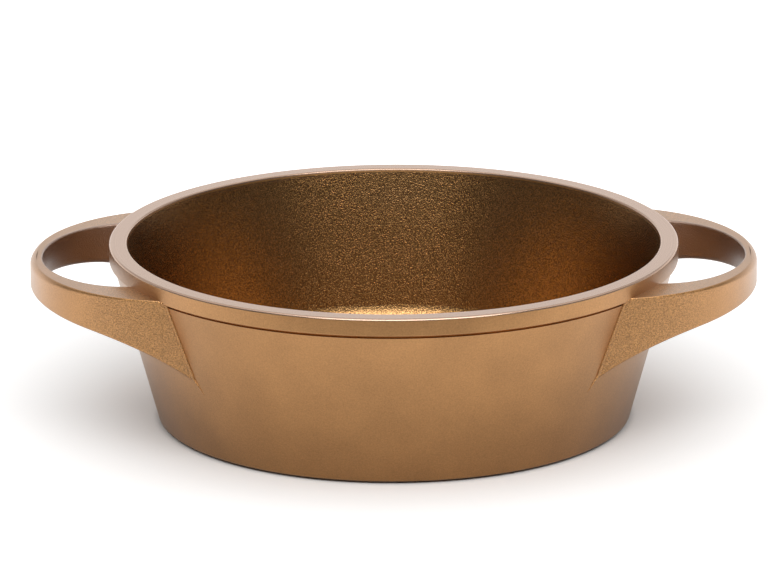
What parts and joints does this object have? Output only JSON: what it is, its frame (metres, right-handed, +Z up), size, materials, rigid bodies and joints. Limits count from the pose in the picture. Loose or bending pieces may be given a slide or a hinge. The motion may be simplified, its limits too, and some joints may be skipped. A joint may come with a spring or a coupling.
{
  "type": "shallow casserole pan",
  "caption": "Round, shallow casserole pan in cast metal with a flared wall, a flat rim collar and a flat loop handle on each side.",
  "frame": {"origin": "on the pan's vertical axis, at the surface that it stands on", "axes": "+Z is up through the mouth, +X runs out through the right handle, and -Y faces the viewer of the picture"},
  "size_m": [0.326, 0.2552, 0.0815],
  "materials": {
    "cast_metal": "satin",
    "coating": "satin",
    "disc_steel": "satin"
  },
  "bodies": {
    "root": {"pan_floor": "cast_metal", "pan_wall": "cast_metal", "handle_left": "cast_metal", "handle_right": "cast_metal", "interior_coating": "coating", "base_disc": "disc_steel"}
  },
  "joints": []
}
